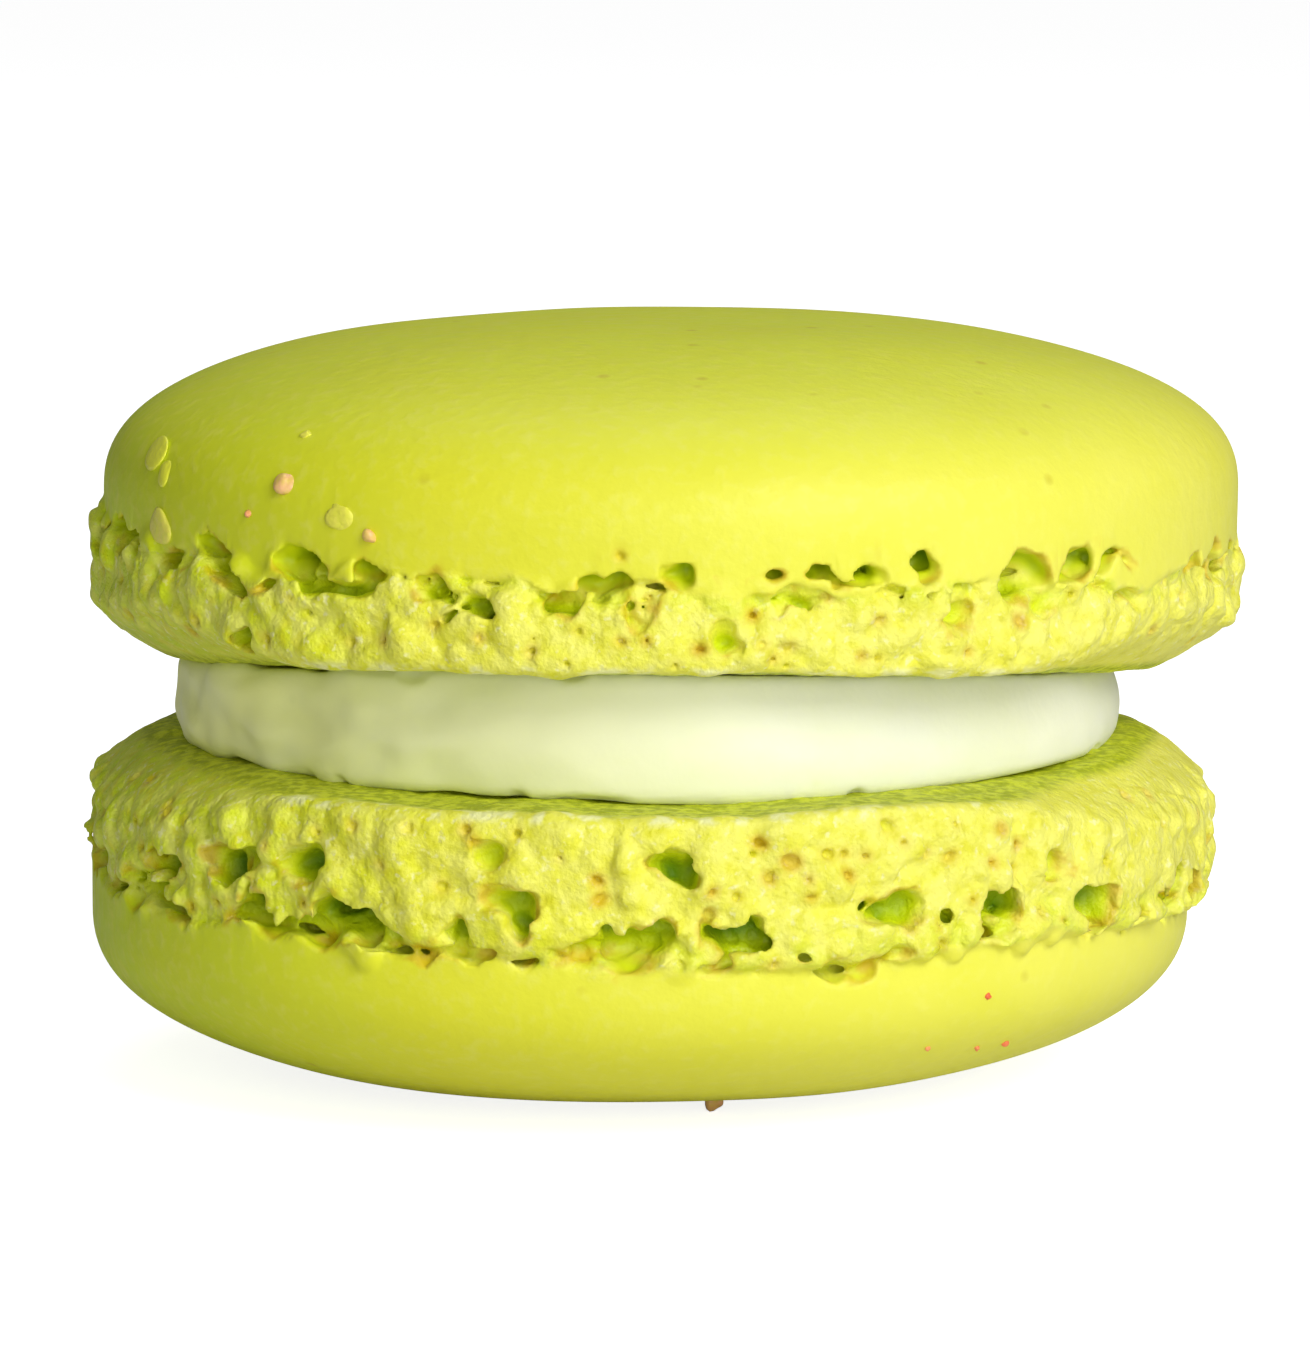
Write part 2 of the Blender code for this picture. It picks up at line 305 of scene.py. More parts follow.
class ShellShape:
    """The smooth envelope of one shell, and where its parts are."""

    def __init__(self, name, sizes):
        self.name = name
        self.sizes = sizes
        self.up = sizes["up"]
        low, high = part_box(name)
        middle = (low + high) / 2 / MM
        dome_radius, self.rise, self.fullness = sizes["dome"]
        self.foot_radius, self.foot_height = sizes["foot"]
        self.torn_height = sizes["torn_height"]
        self.dome_radius = dome_radius
        self.foot_x = middle.x + sizes["foot_shift"]
        self.dome_x = middle.x + sizes["dome_shift"]
        self.y = middle.y
        depth = self.foot_height + SKIRT_DROP + self.rise
        self.base_z = high.z / MM - depth if self.up > 0 else low.z / MM + depth - RESTING_SPOT_DEPTH
        self.floor = low.z / MM
        lowest = self.base_z - PAST_BASE if self.up > 0 else self.floor - PAST_DOME
        highest = high.z / MM + PAST_DOME if self.up > 0 else self.base_z + PAST_BASE
        corner = (middle.x - BLOCK_REACH, middle.y - BLOCK_REACH, lowest)
        self.grid = Grid(corner, (middle.x + BLOCK_REACH, middle.y + BLOCK_REACH, highest), STEP)

    def surfaces(self, x, y):
        """The base's and the groove's heights away from the base plane, towards the dome, at (x, y)."""
        sizes = self.sizes
        dx = x - self.foot_x
        base = self.up * lean_at(sizes["base_lean"], sizes["base_back_share"], dx, y - self.y)
        groove = self.foot_height + self.up * lean_at(sizes["groove_lean"], 0.5, dx, y - self.y)
        return base, groove

    def envelope(self):
        """Fills the grid with the smooth shell, and keeps what later steps need."""
        grid, up = self.grid, self.up
        seed = self.sizes["seed"]
        x, y, z = grid.coordinates()
        v = up * (z - self.base_z)
        foot_r = np.hypot(x - self.foot_x, y - self.y)
        dome_r = np.hypot(x - self.dome_x, y - self.y)
        base, groove = self.surfaces(x, y)
        front = smoothstep(0.45, 0.9, -(y - self.y) / np.maximum(foot_r, 1.0))
        base = base + RIM_DROOP * smoothstep(RIM_START, RIM_END, foot_r) * (1.0 - front)
        base = base + 0.05 * flat_noise(grid, 3.0, seed + 1)
        groove = groove + 0.22 * flat_noise(grid, 5.0, seed + 2)
        skirt = groove - 0.05 + 0.2 * flat_noise(grid, 1.6, seed + 3)
        skirt = skirt + 0.13 * flat_noise(grid, 0.6, seed + 4)
        foot_edge = self.foot_radius - 0.2 + 0.12 * flat_noise(grid, 4.0, seed + 5)
        base_rounding = BASE_ROUNDING - (BASE_ROUNDING - FRONT_ROUNDING) * front
        foot = rounded_slab(foot_r, v, foot_edge, base, groove + 0.25, base_rounding, 0.75)

        widest = self.foot_height + SKIRT_DROP
        dome_edge = self.dome_radius
        slab = rounded_slab(dome_r, v, dome_edge, skirt, widest + 3.0, 0.3, 0.5)
        a = np.maximum(dome_r / dome_edge, 1e-4)
        b = np.maximum((v - widest) / self.rise, 1e-4)
        n = self.fullness
        level = (a**n + b**n) ** (1 / n)
        slope = np.hypot(a ** (n - 1) / dome_edge, b ** (n - 1) / self.rise) * level ** (1 - n)
        cap = (level - 1.0) / slope
        dome = np.where(v >= widest, cap, slab)
        dome = dome + 0.035 * noise(grid, (5.0, 5.0, 5.0), seed + 6)
        if up < 0:
            dome = np.maximum(dome, self.floor - z)
        self.v, self.skirt, self.base, self.foot_r = v, skirt, base, foot_r
        grid.distance = join(foot, dome, 0.1).astype(np.float32)
        self.smooth = grid.distance.copy()
        self.hollow = np.full(grid.shape, 9.0, np.float32)
        self.crumb = (1.0 - smoothstep(-0.15, 0.35, v - skirt)).astype(np.float32)

    def place(self, degrees, height, inset):
        """A point at this angle and height over the floor, inset from the foot's outside."""
        _, out, _ = polar_frame(degrees)
        radius = self.foot_radius - inset
        return np.array([self.foot_x + out[0] * radius, self.y + out[1] * radius, height])

    def heights_at(self, degrees):
        """The heights over the floor of the base's rim and the groove at an angle."""
        point = self.place(degrees, 0.0, 0.3)
        base, groove = self.surfaces(point[0], point[1])
        return self.base_z + self.up * base, self.base_z + self.up * groove

    def add_lumps(self, rng):
        """Covers the foot with lumps of risen batter, bold in some stretches and nearly flat in others."""
        for _ in range(LUMPS):
            degrees = rng.uniform(-180, 180)
            rim, groove = self.heights_at(degrees)
            share = rng.uniform(0.12, 1.0)
            height = rim + (groove - rim) * share
            bold = self.boldness(degrees)
            size = rng.uniform(0.35, 0.8)
            axes = (size, rng.uniform(0.35, 0.55), size * rng.uniform(0.9, 1.6))
            proud = rng.uniform(-0.25, 0.0) + 0.28 * bold * rng.uniform(0.2, 1.0)
            centre = self.place(degrees, height, axes[1] - proud)
            way = polar_frame(degrees, rng.uniform(-0.7, 0.4))
            stamp(self.grid, self.grid.distance, centre, axes, way, 0.2)

    def boldness(self, degrees):
        """How lumpy the foot is at an angle, 0 to 1: most at the front's left."""
        front_left = math.exp(-(((degrees + 38.0) / 22.0) ** 2))
        elsewhere = 0.5 + 0.5 * math.sin(math.radians(degrees) * 3.0 + self.sizes["seed"])
        behind = float(smoothstep(60.0, 90.0, abs(degrees)))
        return max(front_left, behind * elsewhere)

    def trim_base(self):
        """Cuts off lumps that reach past the base or its rounded edge, so that the edge is crisp."""
        grid = self.grid
        allowed = 0.34 * smoothstep(0.0, 1.6, self.v - self.base) + 0.03
        allowed = allowed + 0.04 * noise(grid, (1.0, 1.0, 1.0), self.sizes["seed"] + 8)
        grid.distance = cut(grid.distance, allowed - self.smooth, 0.12).astype(np.float32)

    def add_crumb(self):
        """Breaks the foot's surface into small rounded crumbs with creases between them."""
        grid, seed = self.grid, self.sizes["seed"]
        crumbs = 0.15 * (np.abs(noise(grid, (1.25, 1.25, 1.5), seed + 31)) - 0.7)
        crumbs += 0.12 * (np.abs(noise(grid, (0.62, 0.62, 0.7), seed + 32)) - 0.7)
        crumbs += 0.045 * (np.abs(noise(grid, (0.34, 0.34, 0.34), seed + 33)) - 0.7)
        on_foot = (0.04 + 0.96 * self.crumb) * (self.crumb > 0.001)
        grid.distance -= crumbs * on_foot * (0.2 + 0.7 * smoothstep(0.0, 0.6, self.v - self.base))
        below_skirt = self.skirt - self.v
        torn = smoothstep(self.torn_height, 0.0, below_skirt) * (below_skirt > -0.1)
        pits = np.maximum(noise(grid, (0.95, 0.95, 0.8), seed + 35) - 0.35, 0.0)
        grid.distance += 0.26 * torn * pits
        self.torn = torn.astype(np.float32) + np.zeros(grid.shape, np.float32)

    def dig_caverns(self, rng):
        """Opens the bubbles and cracks under the skirt: those that the front shows, and others all round."""
        for degrees, height, width, tall, deep in FRONT_CAVERNS[self.name]:
            self.dig(rng, degrees, height, width, tall, deep)
        degrees = 58.0
        while degrees < 300.0:
            width = rng.uniform(0.7, 2.0)
            degrees += math.degrees((width * 0.75 + rng.uniform(0.2, 1.5)) / self.foot_radius)
            _, groove = self.heights_at(degrees)
            height = groove - self.up * rng.uniform(-0.15, 1.1 if self.up < 0 else 0.5)
            self.dig(rng, degrees, height, width, rng.uniform(0.4, 1.0), rng.uniform(0.8, 1.6))
            degrees += math.degrees(width * 0.5 / self.foot_radius)

        grid, seed = self.grid, self.sizes["seed"]
        open_by = 0.2 * flat_noise(grid, 1.8, seed + 41) + 0.12 * flat_noise(grid, 0.7, seed + 42) - 0.04
        crack = np.abs(self.v - self.skirt + 0.18) - np.minimum(open_by, 0.3)
        crack = np.maximum(crack, self.foot_radius - 1.0 - self.foot_r)
        hollow = join(self.hollow, crack, 0.15)
        ragged = 0.16 * noise(grid, (0.75, 0.75, 0.6), seed + 43)
        ragged += 0.1 * noise(grid, (0.36, 0.36, 0.32), seed + 44)
        self.hollow = (hollow + ragged).astype(np.float32)
        grid.distance = cut(grid.distance, self.hollow, 0.07).astype(np.float32)

    def dig(self, rng, degrees, height, width, tall, deep):
        """One bubble, as a few overlapping hollows."""
        for _ in range(5):
            turn = degrees + math.degrees(rng.uniform(-0.36, 0.36) * width / self.foot_radius)
            raised = height + rng.uniform(-0.28, 0.28) * tall
            shares = rng.uniform(0.28, 0.46), rng.uniform(0.9, 1.3), rng.uniform(0.34, 0.52)
            axes = (width * shares[0], deep * shares[1], tall * shares[2])
            centre = self.place(turn, raised, rng.uniform(0.0, 0.25))
            way = polar_frame(turn, rng.uniform(-0.6, 0.6))
            stamp(self.grid, self.hollow, centre, axes, way, 0.15)

    def dig_pinholes(self, rng):
        """Pricks the foot's face: the pinholes that the front shows, and others at random."""
        for degrees, height, width in FRONT_PINHOLES[self.name]:
            self.pinhole(rng, degrees, height, width)
        for _ in range(PINHOLES):
            degrees = rng.uniform(-180, 180)
            rim, groove = self.heights_at(degrees)
            height = rim + (groove - rim) * rng.uniform(0.1, 0.95)
            self.pinhole(rng, degrees, height, 0.14 + 0.22 * rng.uniform(0, 1) ** 3)

    def pinhole(self, rng, degrees, height, width):
        """One shallow hole with a toasted edge, at least as wide as the grid can hold."""
        inset = self.find_surface(degrees, height)
        size = max(width / 2, 0.75 * STEP)
        axes = (size * rng.uniform(0.8, 1.7), rng.uniform(0.22, 0.4), size * rng.uniform(0.8, 1.3))
        centre = self.place(degrees, height, inset)
        toast = rng.uniform(0.1, 0.8)
        way = polar_frame(degrees, rng.uniform(-0.8, 0.8))
        stamp(self.grid, self.grid.distance, centre, axes, way, 0.05, dig=True, toast=toast)

    def find_surface(self, degrees, height):
        """How far in from the foot's radius the surface is at an angle and height."""
        insets = np.arange(-1.2, 4.5, 0.06)
        points = np.array([self.place(degrees, height, inset) for inset in insets])
        inside = self.grid.sample(self.grid.distance, points) < 0
        return float(insets[np.argmax(inside)]) if inside.any() else 0.0

    def normal_at(self, point):
        """The direction straight out of the smooth surface at a point."""
        reach = 0.4
        steps = np.concatenate([np.eye(3), -np.eye(3)]) * reach
        found = self.grid.sample(self.smooth, point + steps)
        slope = found[:3] - found[3:]
        return slope / np.linalg.norm(slope)


def surface_of(grid):
    """(points in metres, four-cornered faces) where the distance is 0, for the largest closed surface."""
    band = 3 * grid.step
    volume = openvdb.FloatGrid(background=band)
    volume.copyFromArray(np.clip(grid.distance, -band, band))
    points, _, faces = volume.convertToPolygons(isovalue=0.0)
    faces = faces.astype(np.int64)
    label = np.arange(len(points))
    while True:
        lowest = label[faces].min(axis=1)
        before = label.copy()
        for corner in range(4):
            np.minimum.at(label, faces[:, corner], lowest)
        label = label[label]
        if (label == before).all():
            break
    names, counts = np.unique(label, return_counts=True)
    kept = label == names[counts.argmax()]
    number = np.cumsum(kept) - 1
    faces = number[faces[kept[faces[:, 0]]]]
    points = (points[kept] * grid.step + grid.low) * MM
    a, b, c, d = (points[faces[:, k]] for k in range(4))
    faces_out = (a * (np.cross(b, c) + np.cross(c, d))).sum() > 0
    return points, faces if faces_out else faces[:, ::-1]


def new_object(name, points, faces):
    """An object in the scene from points in metres and faces that all have the same number of corners."""
    mesh = bpy.data.meshes.new(name)
    mesh.vertices.add(len(points))
    mesh.vertices.foreach_set("co", np.asarray(points, np.float32).ravel())
    mesh.loops.add(faces.size)
    mesh.loops.foreach_set("vertex_index", np.asarray(faces, np.int32).ravel())
    mesh.polygons.add(len(faces))
    starts = np.arange(0, faces.size, faces.shape[1], dtype=np.int32)
    mesh.polygons.foreach_set("loop_start", starts)
    mesh.update(calc_edges=True)
    mesh.validate()
    mesh.shade_smooth()
    piece = bpy.data.objects.new(name, mesh)
    bpy.context.scene.collection.objects.link(piece)
    return piece


def thin_out(piece):
    """Merges faces where the surface is flat, until the piece has few enough triangles."""
    triangles = 2 * len(piece.data.polygons)
    if triangles <= MOST_TRIANGLES:
        return
    modifier = piece.modifiers.new("thin out", "DECIMATE")
    modifier.ratio = MOST_TRIANGLES / triangles
    bpy.context.view_layer.update()
    evaluated = piece.evaluated_get(bpy.context.evaluated_depsgraph_get())
    mesh = bpy.data.meshes.new_from_object(evaluated)
    piece.modifiers.clear()
    piece.data = mesh
    mesh.name = piece.name
    mesh.shade_smooth()


def points_of(piece):
    """The piece's points, in millimetres."""
    points = np.empty(len(piece.data.vertices) * 3, np.float32)
    piece.data.vertices.foreach_get("co", points)
    return points.reshape(-1, 3) / MM


def paint(piece, name, values):
    """Stores a number for each of the piece's points, which its material reads."""
    attribute = piece.data.attributes.new(name, "FLOAT", "POINT")
    attribute.data.foreach_set("value", np.asarray(values, np.float32))


def make_shell(shape):
    """One shell's piece, with the numbers that its material reads at each point."""
    rng = np.random.default_rng(shape.sizes["seed"])
    shape.envelope()
    shape.add_lumps(rng)
    shape.trim_base()
    shape.add_crumb()
    shape.dig_caverns(rng)
    shape.dig_pinholes(rng)
    points, faces = surface_of(shape.grid)
    piece = new_object(shape.name + "_crust", points, faces)
    thin_out(piece)
    points = points_of(piece)
    sample = shape.grid.sample
    depth = -sample(shape.smooth, points)
    base, _ = shape.surfaces(points[:, 0], points[:, 1])
    over_base = shape.up * (points[:, 2] - shape.base_z) - base
    radius = np.hypot(points[:, 0] - shape.foot_x, points[:, 1] - shape.y)
    near_base = 1.0 - smoothstep(0.12, 0.42, over_base)
    at_edge = smoothstep(shape.foot_radius - 1.1, shape.foot_radius - 0.5, radius)
    rim = 1.0 - smoothstep(0.02, 0.2, np.abs(sample(shape.hollow, points)))
    rim = rim * (1.0 - smoothstep(0.25, 0.6, depth))
    paint(piece, "depth", depth)
    paint(piece, "crumb", sample(shape.crumb, points))
    paint(piece, "toast", sample(shape.grid.toast, points))
    paint(piece, "hollow_rim", rim)
    paint(piece, "torn", sample(shape.torn, points))
    paint(piece, "base_edge", near_base * at_edge)
    paint(piece, "base", near_base * (1.0 - at_edge))
    return piece


# --- Filling


CREAM_RADIUS = 18.05
CREAM_MARGIN = 1.45  # from the cream's radius to the side of its block

# Gaps between the cream and the shells: (degrees round, shell, width, height, depth).
CREAM_GAPS = [
    (-43.5, "shell_lower", 0.8, 0.3, 0.5), (-38.0, "shell_lower", 0.6, 0.25, 0.5),
    (-14.8, "shell_lower", 0.8, 0.3, 0.6), (-7.0, "shell_lower", 3.2, 0.2, 0.5),
    (25.0, "shell_lower", 0.7, 0.25, 0.5), (-8.6, "shell_upper", 1.4, 0.32, 0.6),
    (-28.0, "shell_upper", 1.6, 0.5, 0.5), (-33.0, "shell_upper", 3.0, 0.25, 0.4),
    (70.0, "shell_lower", 1.5, 0.3, 0.5), (110.0, "shell_upper", 1.2, 0.3, 0.5),
    (155.0, "shell_lower", 2.0, 0.25, 0.5), (200.0, "shell_upper", 1.8, 0.3, 0.5),
    (250.0, "shell_lower", 1.2, 0.3, 0.5),
]


def shell_base_height(shape, point):
    """The height over the floor of a shell's base under or over a point."""
    return shape.base_z + shape.up * shape.surfaces(point[0], point[1])[0]


def make_filling(upper, lower):
    """The piped cream: a soft disc between the two bases, smooth at the right and folded at the left."""
    low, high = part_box("filling")
    x0, y0 = (low.x + high.x) / 2 / MM, (low.y + high.y) / 2 / MM
    reach = CREAM_RADIUS + CREAM_MARGIN
    lowest, highest = lower.base_z - 1.2, upper.base_z + 3.0
    grid = Grid((x0 - reach, y0 - reach, lowest), (x0 + reach, y0 + reach, highest), CREAM_STEP)
    x, y, z = grid.coordinates()
    bottom = lower.base_z - lower.surfaces(x, y)[0]
    top = upper.base_z + upper.surfaces(x, y)[0]
    r = np.hypot(x - x0, y - y0)
    share = np.clip((z - bottom) / (top - bottom), 0, 1)
    left = 1.0 - smoothstep(-13.0, 1.0, x - x0)
    edge = CREAM_RADIUS + 0.28 * np.sin(math.pi * share) + 0.12 * flat_noise(grid, 5.0, 5) - 0.12 * share
    slab = rounded_slab(r, z, edge, bottom - 0.08, top + 0.08, 0.5, 0.35)
    folds = 0.16 * noise(grid, (2.2, 2.2, 1.1), 71) + 0.07 * noise(grid, (0.9, 0.9, 0.55), 72)
    soft = 0.09 * noise(grid, (4.5, 4.5, 2.5), 73)
    grid.distance = (slab + folds * (0.1 + 0.75 * left) + soft).astype(np.float32)
    for degrees, shell, width, tall, deep in CREAM_GAPS:
        way = polar_frame(degrees)
        spot = np.array([x0, y0, 0.0]) + way[1] * (CREAM_RADIUS + 0.05)
        spot[2] = shell_base_height(upper if shell == "shell_upper" else lower, spot)
        stamp(grid, grid.distance, spot, (width / 2, deep, tall), way, 0.15, dig=True)
    points, faces = surface_of(grid)
    piece = new_object("cream", points, faces)
    thin_out(piece)
    return piece


# --- Sugar grains

# Grains stuck on the shells: (shell, degrees round, height, width, thickness, tint).
# A tint of 0 is the crust's yellow, 0.5 is pale and 1 is red.
GRAINS = [
    ("shell_upper", -40.0, 23.97, 0.75, 0.55, 0.62), ("shell_upper", -29.1, 22.3, 0.55, 0.5, 0.62),
    ("shell_upper", -32.8, 22.9, 1.15, 0.22, 0.1), ("shell_upper", -44.4, 22.74, 0.3, 0.3, 0.75),
    ("shell_upper", -60.1, 21.9, 1.7, 0.3, 0.15), ("shell_upper", -57.4, 20.9, 0.9, 0.4, 0.6),
    ("shell_upper", -63.5, 24.4, 1.7, 0.2, 0.0), ("shell_upper", -60.5, 23.8, 1.0, 0.2, 0.0),
    ("shell_upper", -40.5, 25.6, 0.4, 0.2, 0.1),
    ("shell_lower", 36.3, 5.38, 0.28, 0.2, 0.95), ("shell_lower", 38.4, 3.21, 0.2, 0.2, 0.85),
    ("shell_lower", 42.7, 3.22, 0.24, 0.2, 0.9), ("shell_lower", 31.0, 3.5, 0.18, 0.2, 0.8),
]
FALLEN_GRAIN = (2.0, -10.6, 0.41, 0.75, 0.5, 0.66)  # x, y, z, width, thickness, tint


def make_grains(shapes):
    """A few sugar grains on the shells' skins, and one on the floor against the lower shell."""
    rng = np.random.default_rng(5)
    ball = bmesh.new()
    bmesh.ops.create_icosphere(ball, subdivisions=3, radius=1.0)
    round_points = np.array([v.co for v in ball.verts])
    round_faces = np.array([[v.index for v in face.verts] for face in ball.faces])
    ball.free()
    spots = []
    for name, degrees, height, width, thick, tint in GRAINS:
        shape = shapes[name]
        spot = shape.place(degrees, height, shape.find_surface(degrees, height))
        out = shape.normal_at(spot)
        spots.append((spot + 0.1 * thick * out, polar_frame(degrees)[0], out, width, thick, tint))
    x, y, z, width, thick, tint = FALLEN_GRAIN
    side, out, _ = polar_frame(0.0)
    spots.append((np.array([x, y, z]), side, out, width, thick, tint))
    points, faces, tints = [], [], []
    for spot, side, out, width, thick, tint in spots:
        bumps = 1.0
        for _ in range(5):
            way = rng.standard_normal(3) * 2.0
            bumps = bumps + 0.1 * np.sin(round_points @ way + rng.uniform(0, 6))
        up = np.cross(out, side)
        up /= np.linalg.norm(up)
        tall = width * rng.uniform(0.42, 0.52)
        axes = np.array([np.cross(up, out) * width / 2, out * thick / 2, up * tall])
        faces.append(round_faces + len(round_points) * len(points))
        points.append(spot + (round_points * bumps[:, None]) @ axes)
        tints.append(np.full(len(round_points), tint))
    piece = new_object("sugar_grains", np.concatenate(points) * MM, np.concatenate(faces))
    paint(piece, "tint", np.concatenate(tints))
    return piece


# --- Materials


class Nodes:
    """A short way to write a material's nodes."""

    def __init__(self, name):
        self.material = bpy.data.materials.new(name)
        self.material.use_nodes = True
        self.tree = self.material.node_tree
        self.shader = self.tree.nodes["Principled BSDF"]
        self.position = self.add("ShaderNodeTexCoord").outputs["Object"]

    def add(self, kind, **settings):
        node = self.tree.nodes.new(kind)
        for key, value in settings.items():
            setattr(node, key, value)
        return node

    def wire(self, socket, value):
        """Links a node's output to the socket, or sets a plain value on it."""
        if hasattr(value, "links"):
            self.tree.links.new(value, socket)
        else:
            socket.default_value = value

    def noise(self, length, detail=3.0, rough=0.5):
        """Noise with features of this length in millimetres."""
        node = self.add("ShaderNodeTexNoise")
        self.wire(node.inputs["Vector"], self.position)
        node.inputs["Scale"].default_value = 1.0 / (length * MM)
        node.inputs["Detail"].default_value = detail
        node.inputs["Roughness"].default_value = rough
        return node.outputs["Fac"]

    def spots(self, spacing, width):
        """1 at the middle of scattered spots, 0 outside them."""
        node = self.add("ShaderNodeTexVoronoi")
        self.wire(node.inputs["Vector"], self.position)
        node.inputs["Scale"].default_value = 1.0 / (spacing * MM)
        return self.ramp(node.outputs["Distance"], width / spacing, 0.4 * width / spacing)

    def attribute(self, name):
        """A number that paint() stored at each point."""
        return self.add("ShaderNodeAttribute", attribute_name=name).outputs["Fac"]

    def ramp(self, value, low, high, to_low=0.0, to_high=1.0):
        """The value from low to high, taken to to_low to to_high and held there outside."""
        node = self.add("ShaderNodeMapRange", clamp=True)
        self.wire(node.inputs["Value"], value)
        sockets = ("From Min", "From Max", "To Min", "To Max")
        for socket, number in zip(sockets, (low, high, to_low, to_high)):
            node.inputs[socket].default_value = number
        return node.outputs["Result"]

    def mix(self, share, first, second):
        """A colour from first at a share of 0 to second at 1."""
        node = self.add("ShaderNodeMix", data_type="RGBA")
        self.wire(node.inputs["Factor"], share)
        inputs = [s for s in node.inputs if s.type == "RGBA"]
        self.wire(inputs[0], first)
        self.wire(inputs[1], second)
        return [s for s in node.outputs if s.type == "RGBA"][0]

    def math(self, operation, first, second):
        node = self.add("ShaderNodeMath", operation=operation)
        self.wire(node.inputs[0], first)
        self.wire(node.inputs[1], second)
        return node.outputs[0]

    def bump(self, height, distance, normal=None):
        """A normal that is roughened by heights of up to this distance in millimetres."""
        node = self.add("ShaderNodeBump")
        node.inputs["Strength"].default_value = 1.0
        node.inputs["Distance"].default_value = distance * MM
        self.wire(node.inputs["Height"], height)
        if normal is not None:
            self.wire(node.inputs["Normal"], normal)
        return node.outputs["Normal"]

    def scatter(self, weight, radius, scale, specular):
        """Sets how far light spreads under the surface, in millimetres, and how strongly it shines."""
        self.shader.inputs["Subsurface Weight"].default_value = weight
        self.shader.inputs["Subsurface Radius"].default_value = radius
        self.shader.inputs["Subsurface Scale"].default_value = scale * MM
        self.shader.inputs["Specular IOR Level"].default_value = specular


def crust_tint_with_painted_shade_and_light(n):
    """The crust's main colour, with painted shade and light: darker and greener at the left and greener at
    the top, where shade falls, and paler at the right, where the light falls.
    """
    place = n.add("ShaderNodeSeparateXYZ")
    n.wire(place.inputs[0], n.position)
    x, z = place.outputs["X"], place.outputs["Z"]
    # Painted shade at the left and painted light at the right, then painted shade at the top.
    tint = n.mix(n.ramp(x, -21.5 * MM, -8.0 * MM), srgb(206, 228, 0), srgb(234, 233, 52))
    tint = n.mix(n.ramp(x, -8.0 * MM, 16.0 * MM), tint, srgb(240, 237, 92))
    return n.mix(n.ramp(z, 24.5 * MM, 28.8 * MM, 0.0, 0.7), tint, srgb(226, 242, 44))


def skin_colour(n, tint):
    """The dome's skin: soft blotches, fine pale grain and a few tan specks."""
    # The tint under the skin holds painted shade at the left and top and painted light at the right.
    skin = n.mix(n.ramp(n.noise(4.0, 4.0), 0.35, 0.65, 0.0, 0.3), tint, srgb(230, 230, 30))
    skin = n.mix(n.ramp(n.noise(0.5, 3.0), 0.5, 0.72, 0.0, 0.3), skin, srgb(244, 242, 116))
    specks = n.math("MULTIPLY", n.spots(2.6, 0.3), n.ramp(n.noise(3.0), 0.5, 0.6, 0.0, 0.5))
    return n.mix(specks, skin, srgb(200, 182, 40))


def crumb_colour(n, tint):
    """The foot's crumb: pale and deep yellow mixed at three sizes."""
    # The tint under the crumb holds painted shade at the left and top and painted light at the right.
    crumb = n.mix(n.ramp(n.noise(0.8, 4.0), 0.36, 0.62, 0.0, 0.55), tint, srgb(246, 243, 128))
    crumb = n.mix(n.ramp(n.noise(0.6, 3.0), 0.52, 0.66, 0.0, 0.5), crumb, srgb(222, 218, 6))
    return n.mix(n.ramp(n.noise(0.32, 2.0), 0.6, 0.74, 0.0, 0.6), crumb, srgb(252, 250, 190))


def recess_colour_and_painted_shade(n, colour, wet):
    """Greener where the surface lies deep in a bubble, and dark green further in, which is painted shade;
    greener too where the torn crumb is wet.
    """
    depth = n.attribute("depth")
    colour = n.mix(n.ramp(depth, 0.1, 0.6), colour, srgb(212, 224, 4))
    # Painted shade deep inside the bubbles.
    colour = n.mix(n.ramp(depth, 0.55, 1.3), colour, srgb(112, 150, 0))
    return n.mix(n.ramp(wet, 0.0, 1.0, 0.0, 0.5), colour, srgb(214, 230, 20))


def base_colour(n, colour):
    """The speckled face against the cream, and pale chips along its edge."""
    flat = n.mix(n.ramp(n.noise(0.4, 4.0), 0.4, 0.6), srgb(214, 222, 50), srgb(168, 180, 16))
    colour = n.mix(n.attribute("base"), colour, flat)
    chips = n.math("MULTIPLY", n.attribute("base_edge"), n.ramp(n.noise(0.9, 3.0), 0.48, 0.6, 0.0, 0.8))
    return n.mix(chips, colour, srgb(250, 250, 190))


def singed_colour(n, colour):
    """Tan round some of the bubbles' mouths and in the pinholes."""
    mouths = n.ramp(n.noise(1.3, 3.0), 0.48, 0.64, 0.0, 0.55)
    singed = n.math("MULTIPLY", n.attribute("hollow_rim"), mouths)
    singed = n.math("MAXIMUM", singed, n.ramp(n.attribute("toast"), 0.0, 1.0, 0.0, 0.75))
    return n.mix(singed, colour, srgb(206, 156, 10))


